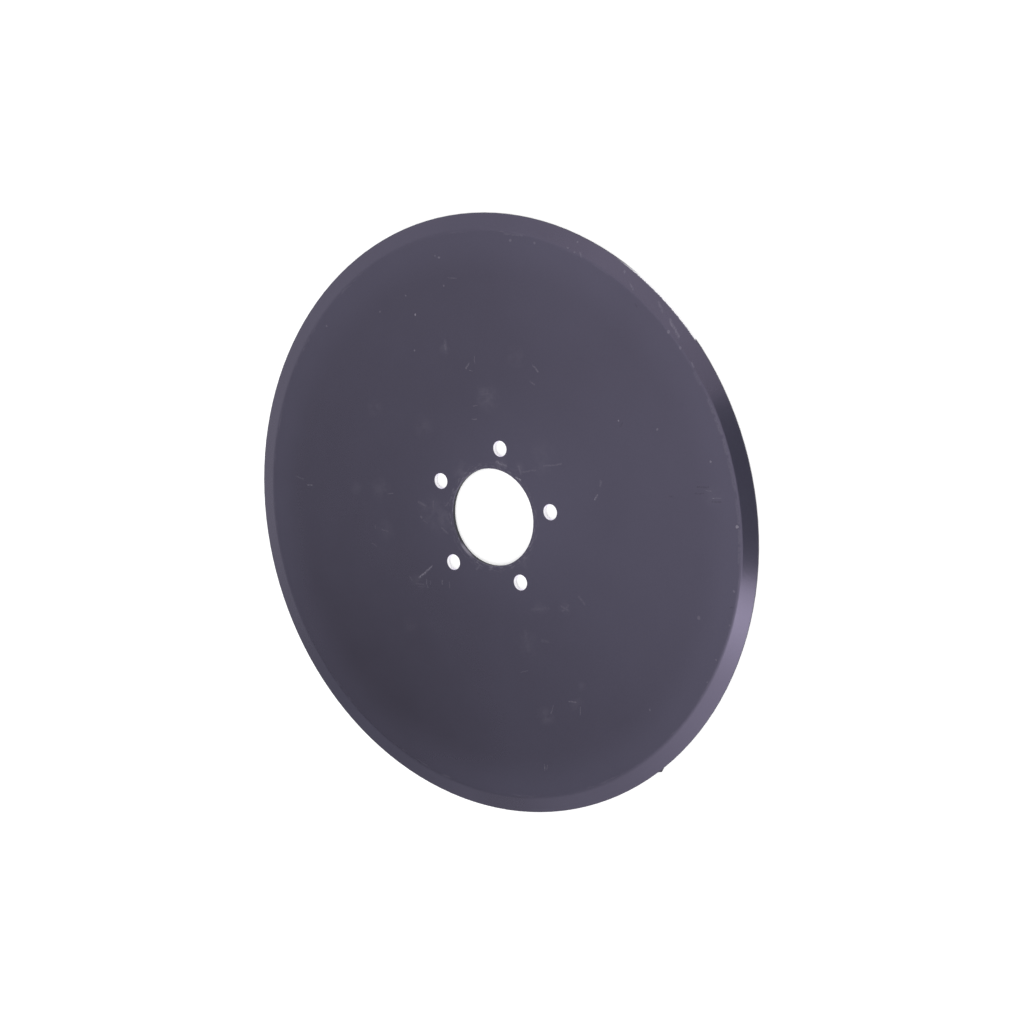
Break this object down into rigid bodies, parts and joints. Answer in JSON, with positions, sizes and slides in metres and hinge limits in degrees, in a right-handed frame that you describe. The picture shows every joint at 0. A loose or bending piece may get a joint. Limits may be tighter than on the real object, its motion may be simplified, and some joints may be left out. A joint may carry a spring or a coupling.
{
  "type": "seed drill disc",
  "caption": "Flat round steel disc with a ground bevel round its rim, a plain central bore and a circle of bolt holes round it.",
  "frame": {"origin": "on the axis of the central bore, on the plane of the flat back face", "axes": "+Z along the axis of the disc, out of the bevelled front face; +Y from the axis through one bolt hole"},
  "size_m": [0.35, 0.35, 0.0025],
  "materials": {
    "painted_steel": "satin"
  },
  "bodies": {
    "root": {"disc_blade": "painted_steel"}
  },
  "joints": []
}
